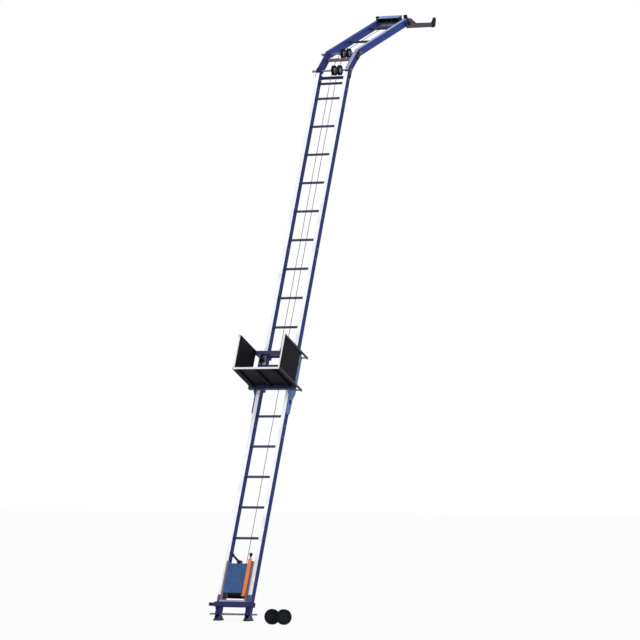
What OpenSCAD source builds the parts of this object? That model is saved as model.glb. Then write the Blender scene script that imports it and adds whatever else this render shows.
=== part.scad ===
// Inclined ladder hoist: three bolted ladder sections, a knee with two hinges,
// a roof arm with rests, a roller carriage with an open tray, and a rope winch at the foot.
// Local ladder axes: x across, y through the depth of the rails, z up along the rails.

/* [Ladder] */
// Angle between the ladder and the ground
lean = 66.9; // [60:0.1:75]
// Length of one ladder section
section_len = 2000; // [1600:10:2400]
// Rungs in one ladder section
rungs_per_section = 6; // [5:1:7]
// Width of a rail across the ladder
rail_w = 40; // [36:1:44]
// Depth of a rail from front to back
rail_d = 80; // [76:1:88]
// Wall of a rail
rail_wall = 3; // [2:0.5:5]
// Distance between the middles of the two rails
rail_centres = 330; // [320:1:350]
// Diameter of a rung
rung_d = 26; // [20:1:32]
// Length of rail below the wheel axle
foot_tail = 20; // [14:1:22]

/* [Splices] */
// Length of the spigot inside each rail joint
spigot_len = 240; // [180:10:300]
// Wall of the spigot
spigot_wall = 4; // [3:0.5:6]
// Gap between spigot and rail
spigot_gap = 0.5; // [0.2:0.1:0.8]
// Diameter of the splice bolts
bolt_d = 10; // [8:1:12]
// Distance of each splice bolt from its joint
bolt_from_joint = 60; // [40:5:80]

/* [Base] */
// Height of the wheel axle above the ground
axle_z = 65; // [60:1:80]
// Diameter of the wheel axle
axle_d = 20; // [16:1:22]
// Length of the wheel axle
axle_len = 520; // [480:5:600]
// Diameter of the axle's bare ends
spindle_d = 18; // [14:1:19]
// Length of the axle's bare ends
spindle_len = 64; // [40:1:66]
// Outside size of the square base beam
beam_size = 44; // [36:1:50]
// Wall of the base beam
beam_wall = 3; // [2:0.5:5]
// Length of the base beam with its grip
beam_len = 480; // [440:5:540]
// Length of the grip on the beam's left end
grip_len = 50; // [40:1:60]
// Diameter of that grip
grip_d = 36; // [30:1:40]
// Height of the beam's lower face along the rail
beam_s = 55; // [50:1:70]
// Thickness of the plates that hold the beam
bracket_t = 6; // [4:1:8]
// Length of those plates along the rail
bracket_len = 150; // [130:5:170]

/* [Feet] */
// Width of a foot across the ladder
foot_w = 62; // [58:1:80]
// Length of a foot from front to back
foot_l = 112; // [96:1:130]
// Thickness of the sole plate
foot_plate_t = 7; // [5:1:8]
// Thickness of the rubber under the sole
foot_pad_t = 10; // [8:1:12]
// Thickness of the ears round the axle
foot_ear_t = 6; // [5:1:8]

/* [Winch] */
// Height of the winch pan along the rail
pan_s = 118; // [112:1:130]
// Thickness of the winch pan
pan_t = 4; // [3:0.5:6]
// Height of the winch cheeks
cheek_h = 423; // [415:1:440]
// Thickness of the winch cheeks
cheek_t = 6; // [5:0.5:8]
// Width of the front flange of a cheek
cheek_flange = 24; // [20:1:26]
// Distance of the cheek flange in front of the rails
cheek_proud = 28; // [26:1:34]
// Distance of the cover in front of the rails
cover_proud = 35; // [30:1:40]
// Height of the cover's lower edge along the rail
cover_s = 200; // [180:1:220]
// Height of the cover's lid along the rail
lid_s = 513; // [500:1:525]
// Thickness of the cover sheet
cover_t = 2; // [1.5:0.5:3]
// Depth of the cover's side folds
cover_fold = 24; // [16:1:26]
// Depth of the cover's lid
lid_depth = 100; // [90:1:105]
// Height of the motor's middle along the rail
motor_s = 236; // [230:1:240]
// Diameter of the motor without fins
motor_d = 112; // [100:1:116]
// Length of the motor
motor_len = 190; // [160:1:200]
// Height of a motor fin
fin_h = 6; // [4:0.5:8]
// Number of motor fins
fin_count = 24; // [16:1:30]
// Height of the drum's middle along the rail
drum_s = 400; // [395:1:405]
// Diameter of the drum's core
drum_d = 110; // [100:1:112]
// Diameter of the drum's flanges
drum_flange_d = 150; // [140:1:156]
// Thickness of the drum's flanges
drum_flange_t = 5; // [4:0.5:7]
// Diameter of the drum's shaft
shaft_d = 30; // [24:1:34]
// Thickness of the gearbox
gearbox_t = 49; // [40:1:52]
// Diameter of the gearbox ends
gearbox_d = 120; // [110:1:124]

/* [Control lever] */
// Distance of the lever in front of the rails
lever_proud = 46; // [44:1:52]
// Middle of the lever across the ladder
lever_x = 118; // [116:1:119]
// Width of the lever
lever_w = 36; // [30:1:38]
// Thickness of the lever
lever_t = 8; // [6:1:10]
// Height of the lever's pivot along the rail
lever_s = 170; // [160:1:180]
// Length of the lever from pivot to knob
lever_len = 436; // [420:1:450]
// Diameter of the lever's pivot pin
lever_pin_d = 12; // [10:1:14]
// Diameter of the lever's knob
knob_d = 36; // [30:1:38]

/* [Limit lever] */
// Length of the limit lever
limit_len = 141; // [125:1:145]
// Diameter of the limit lever
limit_d = 24; // [20:1:25]
// Angle of the limit lever above the cover's lid
limit_angle = 42; // [38:1:48]
// Pivot of the limit lever left of the middle
limit_x = 20; // [15:1:25]

/* [Rope] */
// Diameter of the wire rope
rope_d = 6; // [4:0.5:6]
// Distance between the two rope runs
rope_gap = 66; // [60:1:72]
// Turns of rope on the drum
winding_turns = 14; // [8:1:14]
// Gap between turns on the drum
winding_gap = 0.6; // [0.5:0.1:1]
// Length of rope between drum and guide line
lead_len = 32; // [30:1:40]

/* [Knee] */
// Length of the fixed knee foot up to its hinge
knee_foot_len = 170; // [160:1:200]
// Distance between the two knee hinges
link_len = 310; // [290:1:360]
// Bend at the lower hinge
knee_lower_bend = 26; // [15:1:32]
// Bend at the upper hinge
knee_upper_bend = 21; // [12:1:30]
// Diameter of the hinge axles
knee_axle_d = 20; // [16:1:24]
// Length of the hinge axles beyond their left nuts
axle_reach = 42; // [30:1:50]
// Length of the knob at the left end of a hinge axle
axle_knob = 14; // [10:1:18]
// Thickness of the hinge plates
plate_t = 8; // [6:1:10]
// Length of a hinge plate along its rail
plate_tail = 84; // [70:1:95]
// Radius of the rope on the knee pulleys
pulley_pitch_r = 45; // [42:1:50]
// Width of a knee pulley
pulley_w = 26; // [20:1:30]
// Rim of a pulley above the rope's middle
pulley_rim = 10; // [6:1:12]

/* [Arm] */
// Length of the roof arm
arm_len = 1420; // [1300:10:1600]
// Place of the arm's first rung above the upper hinge
arm_rung_l = 520; // [460:1:560]
// Distance of the arm's second rung from the head sheave
arm_rung_gap = 210; // [200:1:230]
// Distance of the head sheave from the arm's end
sheave_from_end = 90; // [80:1:110]
// Width of the head sheave
sheave_w = 24; // [18:1:26]
// Bolt of the head sheave
sheave_bolt_d = 16; // [12:1:18]
// Thickness of the head bracket
head_plate_t = 8; // [6:1:10]
// Thickness of the head cover
head_cover_t = 3; // [2:0.5:4]
// Height of the end stops
stop_h = 38; // [30:1:44]
// Diameter of the end stops
stop_d = 44; // [36:1:50]

/* [Roof rests] */
// Distance of the rests' pivot from the arm's end
rest_from_end = 50; // [46:1:56]
// Diameter of the rests' pivot
rest_pivot_d = 26; // [20:1:30]
// Thickness of a roof rest
rest_t = 8; // [6:1:10]
// Length of a roof rest from pivot to tip
rest_len = 750; // [650:10:900]
// Drop of the rest's tip below the pivot
rest_drop = 205; // [180:1:220]
// Length of a rest's heel behind the pivot
rest_heel = 55; // [45:1:60]
// Height of a rest's hump above the pivot
rest_hump = 40; // [34:1:44]
// Length from the pivot to the shoulder where a rest narrows
rest_shoulder = 220; // [200:1:240]
// Drop of the shoulder below the pivot
shoulder_drop = 50; // [45:1:55]
// Depth of the rest's thin end
rest_bar = 52; // [44:1:56]
// Gap between a rail and the roof rest beside it
rest_gap = 6; // [5:0.5:8]
// Width of the rubber tips
rest_tip_w = 30; // [20:1:30]
// Diameter of the rests' clamp knobs
rest_knob_d = 50; // [40:1:60]

/* [Carriage] */
// Height of the tray's floor along the rail
carriage_s = 2454; // [2200:1:2600]
// Width of the tray
tray_w = 518; // [490:1:560]
// Depth of the tray from front to back
tray_d = 397; // [340:1:440]
// Height of the tray
tray_h = 386; // [340:1:440]
// Thickness of the floor board
floor_t = 21; // [15:1:24]
// Thickness of the side boards
wall_t = 15; // [12:1:18]
// Size of the carriage's square cross beams
cross_size = 40; // [36:1:44]
// Wall of the cross beams
cross_wall = 3; // [2:0.5:4]
// Gap between the rope and the cross beams
rope_clear = 8; // [6:1:12]
// Thickness of the carriage's side plates
side_t = 6; // [5:0.5:8]
// Length of the side plates below the floor
side_drop = 290; // [285:1:320]
// Gap between rails and side plates
side_gap = 6; // [5.5:0.5:8]
// Thickness of the tray's arms
arm_bar_t = 6; // [5:1:8]
// Height of the tray's arms
arm_bar_h = 25; // [24:1:34]
// Diameter of the rollers
roller_d = 50; // [44:1:54]
// Width of the rollers
roller_w = 34; // [28:1:36]
// Diameter of the roller axles
roller_axle_d = 16; // [12:1:18]
// Rim of the rollers beside the rails
roller_rim = 8; // [6:1:10]
// Gap between a roller and its rail
roller_gap = 0.3; // [0.2:0.1:0.6]
// Gap between the front rollers' rims and the cross beams
beam_roller_gap = 13; // [8:1:16]
// Distance of the side plates' tails in front of the rails
tail_proud = 4; // [2:1:8]

/* [Wheels] */
// Diameter of the loose wheels
wheel_d = 152; // [130:1:200]
// Width of the loose wheels
wheel_w = 46; // [36:1:60]
// Thickness of the rubber tyre
tyre_t = 24; // [18:1:30]
// Place of the first loose wheel across the ladder
wheel_x = 690; // [500:10:900]
// Place of the first loose wheel in front of the feet
wheel_y = -550; // [-900:10:-300]
// Direction that the loose wheels face
wheel_yaw = 45; // [30:1:60]
// Gap between the two loose wheels along their bores
wheel_gap = 49; // [40:1:60]
// Distance between the loose wheels' middles, side by side
wheel_step = 87; // [80:1:120]

/* [Hidden] */
$fn = 48;

// Running fits and small clearances
fit = 0.05;
hole_gap = 0.2;
side_play = 0.5;
weld_gap = 0.2;
rope_seat = 0.5;
cut = 1;

// Rail faces in ladder axes
front = -rail_d / 2;
back = rail_d / 2;
inner = (rail_centres - rail_w) / 2;
outer = (rail_centres + rail_w) / 2;
mid = rail_centres / 2;
bar_half = inner - weld_gap;

// Joints between the sections and the two hinges
joint_1 = section_len - foot_tail;
joint_2 = joint_1 + section_len;
joint_3 = joint_2 + section_len;
joints = [joint_1, joint_2, joint_3];
knee_s = joint_3 + knee_foot_len;
rung_pitch = section_len / rungs_per_section;
rung_total = 3 * rungs_per_section;
winch_rungs = 2;
eye_r = rail_d / 2 - 2;
hinge_gap = rail_d / 2 + 1;

// Rope line in front of the rungs
rope_n = -pulley_pitch_r;
rope_r = rope_d / 2;
haul_x = 0;
winch_x = rope_gap;
run_xs = [haul_x, winch_x];

// Winch places
winding_r = drum_d / 2 + rope_seat + rope_r;
drum_n = rope_n + winding_r;
drum_x1 = winch_x + 8;
drum_x0 = winch_x - (winding_turns + 1) * (rope_d + winding_gap) - 2;
winch_half = inner - cheek_t;
gearbox_x1 = gearbox_t - winch_half;
cheek_front = front - cheek_proud;
cheek_s = pan_s + pan_t;
cheek_top = cheek_s + cheek_h;
cover_front = front - cover_proud;
cover_half = inner - cheek_flange;
lever_n = front - lever_proud;
lever_boss_d = 24;
lug_t = 5;
lever_side = lever_x + lever_w / 2;
lever_head_x = lever_x - lever_w / 2 - side_play;
lug_x = lever_side + side_play;
switch_h = 44;
switch_w = 44;
switch_depth = 46;
limit_n = cover_front + 17;
limit_s = lid_s + 27;

// Carriage places
cross_n1 = rope_n - rope_r - rope_clear;
cross_n0 = cross_n1 - cross_size;
tray_n0 = cross_n0 - tray_d;
tray_half = tray_w / 2;
side_x0 = outer + side_gap;
side_x1 = side_x0 + side_t;
roller_front_n = front - roller_d / 2 - roller_gap;
roller_rear_n = back + roller_d / 2 + roller_gap;
side_back = roller_rear_n + 20;
side_front = cross_n0;
rear_high = tray_h - arm_bar_h / 2;
rear_low = arm_bar_h / 2;
axle_hole = roller_axle_d + 2 * fit;
bearer_h = 20;
bearer_w = 25;
beam_low = -cross_size;
beam_high = tray_h - cross_size;
front_low = beam_low + cross_size + roller_d / 2 + roller_rim + beam_roller_gap;
front_high = beam_high - roller_d / 2 - roller_rim - beam_roller_gap;
socket_h = 44;
socket_d = 16;

// Arm places
sheave_l = arm_len - sheave_from_end;
sheave_x = rope_gap / 2;
sheave_r = rope_gap / 2;
head_plate_n = rope_n + sheave_w / 2 + 2;
head_plate_l0 = sheave_l - 55;
head_plate_l1 = sheave_l + 55;
head_cover_n = rope_n - sheave_w / 2 - 21;
rest_l = arm_len - rest_from_end;
rest_n = 10;
rest_x0 = outer + rest_gap;
rest_knob_x = rest_x0 + rest_t + side_play;
rest_boss_r = 22;
rest_tip_len = 90;

// Paint and material colours
navy = [0.19, 0.25, 0.43];
pale_blue = [0.40, 0.50, 0.66];
cover_blue = [0.19, 0.33, 0.52];
orange = [0.83, 0.42, 0.20];
black = [0.10, 0.10, 0.13];
rubber = [0.07, 0.07, 0.08];
steel = [0.62, 0.64, 0.68];
board = [0.13, 0.12, 0.15];

// Frames of the moving groups
module on_ladder() {
    translate([0, 0, axle_z]) rotate([lean - 90, 0, 0]) children();
}
module on_link() {
    on_ladder() translate([0, 0, knee_s]) rotate([-knee_lower_bend, 0, 0]) children();
}
module on_arm() {
    on_link() translate([0, 0, link_len]) rotate([-knee_upper_bend, 0, 0]) children();
}
module on_carriage() {
    on_ladder() translate([0, 0, carriage_s]) children();
}
module both_sides() {
    children();
    mirror([1, 0, 0]) children();
}

// Basic shapes in local axes
module block(x0, x1, y0, y1, z0, z1) {
    translate([x0, y0, z0]) cube([x1 - x0, y1 - y0, z1 - z0]);
}
module rod_x(d, x0, x1, y, z) {
    translate([x0, y, z]) rotate([0, 90, 0]) cylinder(d = d, h = x1 - x0);
}
module rod_y(d, y0, y1, x, z) {
    translate([x, y0, z]) rotate([-90, 0, 0]) cylinder(d = d, h = y1 - y0);
}
module rod_z(d, z0, z1, x, y) {
    translate([x, y, z0]) cylinder(d = d, h = z1 - z0);
}
// Outline drawn in y and z, given a thickness along x
module side_plate(x0, x1) {
    translate([x0, 0, 0]) rotate([90, 0, 90]) linear_extrude(x1 - x0) children();
}
module square_tube_x(half, y0, y1, z0, z1, wall) {
    difference() {
        block(-half, half, y0, y1, z0, z1);
        block(-half - cut, half + cut, y0 + wall, y1 - wall, z0 + wall, z1 - wall);
    }
}
// One hollow rail, between two heights
module rail(z0, z1) {
    difference() {
        block(inner, outer, front, back, z0, z1);
        block(inner + rail_wall, outer - rail_wall, front + rail_wall, back - rail_wall, z0 - cut, z1 + cut);
    }
}
module bolt_hole(z) {
    rod_x(bolt_d + 2 * hole_gap, inner - cut, outer + cut, 0, z);
}
module rung(z) {
    difference() {
        rod_x(rung_d, -bar_half, bar_half, 0, z);
        rod_x(rung_d - 2 * rail_wall, -inner, inner, 0, z);
    }
}

// Ladder
module rails_lower() {
    color(navy) on_ladder() both_sides() difference() {
        rail(-foot_tail, joint_1);
        rod_x(axle_d + 2 * fit, inner - cut, outer + cut, 0, 0);
        bolt_hole(joint_1 - bolt_from_joint);
    }
}
module rail_between(z0, z1) {
    on_ladder() both_sides() difference() {
        rail(z0, z1);
        bolt_hole(z0 + bolt_from_joint);
        bolt_hole(z1 - bolt_from_joint);
    }
}
module rails_middle() {
    color(navy) rail_between(joint_1, joint_2);
}
module rails_upper() {
    color(navy) rail_between(joint_2, joint_3);
}
module rungs() {
    color(navy) on_ladder() for (i = [winch_rungs : rung_total - 1])
        rung((i + 0.5) * rung_pitch - foot_tail);
}
module splice_spigots() {
    gap = rail_wall + spigot_gap;
    color(steel) on_ladder() both_sides() for (z = joints) difference() {
        block(inner + gap, outer - gap, front + gap, back - gap, z - spigot_len / 2, z + spigot_len / 2);
        block(inner + gap + spigot_wall, outer - gap - spigot_wall, front + gap + spigot_wall,
            back - gap - spigot_wall, z - spigot_len / 2 - cut, z + spigot_len / 2 + cut);
        for (side = [-1, 1]) bolt_hole(z + side * bolt_from_joint);
    }
}
module splice_bolts() {
    head_h = 3.5;
    nut_h = 8;
    color(steel) on_ladder() both_sides() for (z = joints, side = [-1, 1]) {
        bolt_z = z + side * bolt_from_joint;
        rod_x(bolt_d, inner - nut_h, outer + head_h, 0, bolt_z);
        rod_x(1.8 * bolt_d, outer, outer + head_h, 0, bolt_z);
        translate([inner - nut_h, 0, bolt_z]) rotate([0, 90, 0])
            cylinder(d = 1.9 * bolt_d, h = nut_h, $fn = 6);
    }
}

// Base
module base_beam() {
    y0 = front - bracket_t - beam_size;
    y1 = front - bracket_t;
    gusset_t = 8;
    gusset_h = 70;
    beam_top = beam_s + beam_size;
    color(navy) on_ladder() {
        translate([grip_len / 2, 0, 0])
            square_tube_x((beam_len - grip_len) / 2, y0, y1, beam_s, beam_s + beam_size, beam_wall);
        both_sides() {
            block(inner, outer + 3, y1, front, beam_s - 15, beam_s - 15 + bracket_len);
            side_plate(mid - gusset_t / 2, mid + gusset_t / 2)
                polygon([[y1, beam_top], [y0 + 4, beam_top], [y1, beam_top + gusset_h]]);
        }
    }
}
module beam_end_caps() {
    y0 = front - bracket_t - beam_size;
    cap_t = 8;
    plug_len = 20;
    plug_in = beam_wall + side_play;
    grip_x = grip_len - beam_len / 2;
    color(black) on_ladder() {
        block(beam_len / 2, beam_len / 2 + cap_t, y0, y0 + beam_size, beam_s, beam_s + beam_size);
        for (x = [beam_len / 2 - plug_len, grip_x])
            block(x, x + plug_len, y0 + plug_in, y0 + beam_size - plug_in, beam_s + plug_in,
                beam_s + beam_size - plug_in);
        rod_x(grip_d, grip_x - grip_len - cap_t, grip_x, y0 + beam_size / 2, beam_s + beam_size / 2);
    }
}
module wheel_axle() {
    shoulder = axle_len / 2 - spindle_len;
    color(steel) on_ladder() {
        rod_x(axle_d, -shoulder, shoulder, 0, 0);
        both_sides() rod_x(spindle_d, shoulder, axle_len / 2, 0, 0);
    }
}
module foot() {
    ear_gap = 1;
    ear_r = 19;
    ear_foot = foot_l / 2 - 6;
    sole_z = foot_pad_t + foot_plate_t;
    ear_x0 = rail_w / 2 + ear_gap;
    groove = 3;
    for (side = [0, 1]) mirror([side, 0, 0]) difference() {
        union() {
            side_plate(ear_x0, ear_x0 + foot_ear_t)
                polygon([[-ear_foot, sole_z], [ear_foot, sole_z], [ear_r, axle_z], [-ear_r, axle_z]]);
            rod_x(2 * ear_r, ear_x0, ear_x0 + foot_ear_t, 0, axle_z);
        }
        rod_x(axle_d + 2 * fit, ear_x0 - cut, ear_x0 + foot_ear_t + cut, 0, axle_z);
    }
    block(-foot_w / 2, foot_w / 2, -foot_l / 2, foot_l / 2, foot_pad_t, sole_z);
    difference() {
        block(-foot_w / 2, foot_w / 2, -foot_l / 2, foot_l / 2, 0, foot_pad_t);
        for (y = [-foot_l / 4, 0, foot_l / 4])
            block(-foot_w / 2 - cut, foot_w / 2 + cut, y - groove, y + groove, -cut, groove);
    }
}
module foot_left() {
    color(black) translate([-mid, 0, 0]) foot();
}
module foot_right() {
    color(black) translate([mid, 0, 0]) foot();
}

// Winch
module winch_frame() {
    spacer_d = 26;
    low_spacer = [50, cheek_s + 28];
    high_spacer = [45, cheek_top - 25];
    color(orange) on_ladder() {
        both_sides() difference() {
            union() {
                block(inner - cheek_t, inner, cheek_front, back + 22, cheek_s, cheek_top);
                block(inner - cheek_flange, inner, cheek_front, cheek_front + cheek_t, cheek_s, cheek_top);
            }
            rod_x(shaft_d + 2 * fit, inner - cheek_t - cut, inner + cut, drum_n, drum_s);
        }
        for (at = [low_spacer, high_spacer]) rod_x(spacer_d, -winch_half, winch_half, at[0], at[1]);
        block(lug_x, lug_x + lug_t, lever_n - lever_boss_d / 2, cheek_front, lever_s - 14, lever_s + 14);
        rod_x(lever_pin_d, lever_head_x, lug_x, lever_n, lever_s);
        rod_x(1.6 * lever_pin_d, lever_head_x - 4, lever_head_x, lever_n, lever_s);
    }
}
module winch_pan() {
    lip_n = cheek_front - 11;
    color(pale_blue) on_ladder() {
        block(-inner, inner, lip_n, back + 22, pan_s, pan_s + pan_t);
        block(-inner, inner, lip_n, lip_n + pan_t, beam_s + beam_size, pan_s);
    }
}
module winch_motor() {
    cowl_len = 42;
    x0 = gearbox_x1;
    x1 = gearbox_x1 + motor_len;
    color(black) on_ladder() translate([0, drum_n, motor_s]) {
        rod_x(motor_d, x0, x1 - cowl_len, 0, 0);
        for (i = [0 : fin_count - 1]) rotate([i * 360 / fin_count, 0, 0])
            block(x0 + 8, x1 - cowl_len, -1.5, 1.5, motor_d / 2 - 2, motor_d / 2 + fin_h);
        difference() {
            rod_x(motor_d + 2 * fin_h + 2, x1 - cowl_len, x1, 0, 0);
            for (i = [0 : 11]) rotate([i * 30, 0, 0]) block(x1 - 6, x1 + cut, -3, 3, 18, motor_d / 2 - 8);
        }
    }
}
module winch_gearbox() {
    hub_depth = 22;
    flange_t = 8;
    color(steel) on_ladder() difference() {
        union() {
            for (z = [motor_s, drum_s]) rod_x(gearbox_d, -winch_half, gearbox_x1, drum_n, z);
            block(-winch_half, gearbox_x1, drum_n - gearbox_d / 2, drum_n + gearbox_d / 2, motor_s, drum_s);
            block(-winch_half + gearbox_t / 2 - flange_t / 2, -winch_half + gearbox_t / 2 + flange_t / 2,
                drum_n - gearbox_d / 2 - 6, drum_n + gearbox_d / 2 + 6, motor_s, drum_s);
        }
        rod_x(shaft_d + 2 * fit, gearbox_x1 - hub_depth, gearbox_x1 + cut, drum_n, drum_s);
    }
}
module winch_cover() {
    lid_n1 = cover_front + lid_depth;
    slot_w = 40;
    color(cover_blue) on_ladder() {
        difference() {
            block(-cover_half, cover_half, cover_front, lid_n1, cover_s, lid_s);
            block(-cover_half + cover_t, cover_half - cover_t, cover_front + cover_t, lid_n1 + cut,
                cover_s - cut, lid_s - cover_t);
            block(-cover_half - cut, cover_half + cut, cover_front + cover_fold, lid_n1 + cut,
                cover_s - cut, lid_s - cover_t);
            block(winch_x - slot_w, winch_x + slot_w / 2, rope_n - 12, rope_n + 12,
                lid_s - cover_t - cut, lid_s + cut);
        }
        difference() {
            block(-limit_x - switch_w / 2, -limit_x + switch_w / 2, limit_n + limit_d / 2 + side_play,
                limit_n + switch_depth, lid_s, lid_s + switch_h);
            rod_y(10 + 2 * fit, limit_n, limit_n + 34, -limit_x, limit_s);
        }
    }
}
module winch_drum() {
    shaft_x0 = gearbox_x1 - 20;
    color(steel) on_ladder() {
        rod_x(drum_d, drum_x0, drum_x1, drum_n, drum_s);
        for (x = [drum_x0 - drum_flange_t, drum_x1])
            rod_x(drum_flange_d, x, x + drum_flange_t, drum_n, drum_s);
        rod_x(shaft_d, shaft_x0, inner, drum_n, drum_s);
    }
}

// Rope winding: one unbroken tube round the drum, six sides, straight for one diameter at each end
winding_pitch = rope_d + winding_gap;
winding_rings = 24;
winding_sides = 6;
winding_steps = winding_turns * winding_rings;
function wound(i) = let (a = 180 + i * 360 / winding_rings)
    [winch_x - i * winding_pitch / winding_rings, winding_r * cos(a), winding_r * sin(a)];
winding_tail_a = 180 + winding_steps * 360 / winding_rings;
winding_path = concat(
    [[winch_x, -winding_r, rope_d]],
    [for (i = [0 : winding_steps]) wound(i)],
    [wound(winding_steps) + rope_d * [0, -sin(winding_tail_a), cos(winding_tail_a)]]);
winding_last = len(winding_path) - 1;
function ring_angle(k) = 180 + max(0, min(winding_steps, k - 1)) * 360 / winding_rings;
function ring(k) = let (a = ring_angle(k)) [for (j = [0 : winding_sides - 1])
    let (b = j * 360 / winding_sides)
    winding_path[k] + rope_r * [cos(b), sin(b) * cos(a), sin(b) * sin(a)]];
winding_points = [for (k = [0 : winding_last]) each ring(k)];
winding_caps = [[for (j = [0 : winding_sides - 1]) j],
    [for (j = [winding_sides - 1 : -1 : 0]) winding_last * winding_sides + j]];
winding_skin = [for (k = [0 : winding_last - 1], j = [0 : winding_sides - 1])
    let (a = k * winding_sides + j, b = k * winding_sides + (j + 1) % winding_sides)
    each [[a, a + winding_sides, b], [b, a + winding_sides, b + winding_sides]]];
winding_least_gap = min([for (i = [0 : winding_last], j = [i + winding_rings - 4 : i + winding_rings + 4])
    if (j <= winding_last) norm(winding_path[i] - winding_path[j])]) - rope_d;
echo(winding_least_gap = winding_least_gap);
module drum_winding() {
    color(steel) on_ladder() translate([0, drum_n, drum_s])
        polyhedron(points = winding_points, faces = concat(winding_caps, winding_skin), convexity = 10);
}
module rope_winch_run() {
    color(steel) on_ladder() rod_z(rope_d, drum_s + lead_len, knee_s, winch_x, rope_n);
}
// Haul run above the carriage and the short lead off the drum
module rope_moving_runs() {
    color(steel) on_ladder() {
        rod_z(rope_d, carriage_s + tray_h + socket_h, knee_s, haul_x, rope_n);
        rod_z(rope_d, drum_s + rope_d, drum_s + lead_len, winch_x, rope_n);
    }
}
// Rope round a pulley on a hinge, through the bend angle
module rope_bend(bend) {
    for (x = run_xs) translate([x, 0, 0]) rotate([90, 0, 90]) rotate([0, 0, 180])
        rotate_extrude(angle = bend) translate([pulley_pitch_r, 0]) circle(d = rope_d);
}

// Winch controls
module control_lever() {
    rod_d = 14;
    bar_len = lever_len - 46;
    color(orange) on_ladder() translate([lever_x, lever_n, lever_s]) difference() {
        union() {
            block(-lever_w / 2, lever_w / 2, -lever_t / 2, lever_t / 2, 0, bar_len);
            rod_x(lever_boss_d, -lever_w / 2, lever_w / 2, 0, 0);
            rod_z(rod_d, bar_len, lever_len - knob_d / 2 + 4, 0, 0);
        }
        rod_x(lever_pin_d + 2 * fit, -lever_w / 2 - cut, lever_w / 2 + cut, 0, 0);
    }
}
module lever_knob() {
    neck_d = 20;
    neck_h = 12;
    color(black) on_ladder() translate([lever_x, lever_n, lever_s + lever_len]) difference() {
        union() {
            sphere(d = knob_d);
            rod_z(neck_d, -knob_d / 2 - neck_h, 0, 0, 0);
        }
        rod_z(14 + 2 * hole_gap, -knob_d / 2 - neck_h - cut, -knob_d / 2 + 4, 0, 0);
    }
}
module limit_lever() {
    pin_len = 30;
    color(black) on_ladder() translate([-limit_x, limit_n, limit_s]) {
        rotate([0, -90 + limit_angle, 0]) {
            rod_z(limit_d, 4, limit_len - 4, 0, 0);
            rod_z(1.35 * limit_d, limit_len - 46, limit_len, 0, 0);
        }
        rod_y(1.4 * limit_d, -limit_d / 2 - 2, limit_d / 2 + side_play / 2, 0, 0);
        rod_y(10, limit_d / 2, pin_len, 0, 0);
    }
}

// Carriage
module carriage_cheeks() {
    low = -side_drop;
    top = tray_h + 4;
    tail_front = front - tail_proud;
    tail_back = back + 8;
    lighten_r = 26;
    x0 = side_x0 - cut;
    x1 = side_x1 + cut;
    color(pale_blue) on_carriage() both_sides() difference() {
        side_plate(side_x0, side_x1) polygon([
            [side_front, top], [side_front, beam_low - 10], [tail_front, beam_low - 60],
            [tail_front, low + 14], [tail_front + 14, low], [tail_back - 30, low], [tail_back - 8, low + 24],
            [tail_back, beam_low - 60], [side_back, beam_low + 10], [side_back, top]]);
        for (z = [beam_low, beam_high]) block(x0, x1, cross_n0 - cut, cross_n1, z, z + cross_size);
        for (z = [front_low, front_high]) rod_x(axle_hole, x0, x1, roller_front_n, z);
        for (z = [rear_low, rear_high]) rod_x(axle_hole, x0, x1, roller_rear_n, z);
        for (i = [1 : 3]) rod_x(2 * lighten_r, x0, x1, 10, rear_low + i * (rear_high - rear_low) / 4);
        rod_x(2 * lighten_r, x0, x1, 0, -150);
    }
}
module carriage_beams() {
    bar_t = 6;
    bar_h = 24;
    color(navy) on_carriage() {
        for (z = [beam_low, beam_high])
            square_tube_x(tray_half, cross_n0, cross_n1, z, z + cross_size, cross_wall);
        for (i = [1, 2]) translate([0, 0, front_low + i * (front_high - front_low) / 3 - bar_h / 2])
            block(-side_x0, side_x0, cross_n0, cross_n0 + bar_t, 0, bar_h);
    }
}
module platform_floor() {
    color(board) on_carriage() block(-tray_half, tray_half, tray_n0, cross_n0, 0, floor_t);
}
module platform_walls() {
    color(board) on_carriage() both_sides()
        block(tray_half - wall_t, tray_half, tray_n0, cross_n0, floor_t, tray_h);
}
module floor_bearers() {
    color(black) on_carriage() for (x = [-1, 0, 1] * (side_x0 + 10))
        block(x - bearer_w / 2, x + bearer_w / 2, tray_n0 + 14, cross_n0, -bearer_h, 0);
}
module carriage_arms() {
    color(black) on_carriage() both_sides() for (z = [0, tray_h - arm_bar_h]) difference() {
        block(tray_half, tray_half + arm_bar_t, tray_n0, side_back, z, z + arm_bar_h);
        rod_x(axle_hole, tray_half - cut, tray_half + arm_bar_t + cut, roller_rear_n, z + arm_bar_h / 2);
    }
}
module roller_axles() {
    head_h = 6;
    tip = inner + 2;
    front_end = side_x1;
    rear_end = tray_half + arm_bar_t;
    color(steel) on_carriage() both_sides() {
        for (z = [front_low, front_high]) {
            rod_x(roller_axle_d, tip, front_end + head_h, roller_front_n, z);
            rod_x(1.5 * roller_axle_d, front_end, front_end + head_h, roller_front_n, z);
            rod_x(1.5 * roller_axle_d, inner - 3, tip, roller_front_n, z);
        }
        for (z = [rear_low, rear_high]) {
            rod_x(roller_axle_d, tip, rear_end + head_h, roller_rear_n, z);
            rod_x(1.5 * roller_axle_d, rear_end, rear_end + head_h, roller_rear_n, z);
            rod_x(1.5 * roller_axle_d, inner - 3, tip, roller_rear_n, z);
        }
    }
}
module roller(y, z) {
    x0 = mid - roller_w / 2;
    x1 = outer + side_play;
    rim_t = 3.5;
    difference() {
        union() {
            rod_x(roller_d, x0, x1 + rim_t, y, z);
            rod_x(roller_d + 2 * roller_rim, x1, x1 + rim_t, y, z);
        }
        rod_x(axle_hole, x0 - cut, x1 + rim_t + cut, y, z);
    }
}
module roller_pair(y, z) {
    color(black) on_carriage() both_sides() roller(y, z);
}
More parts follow.
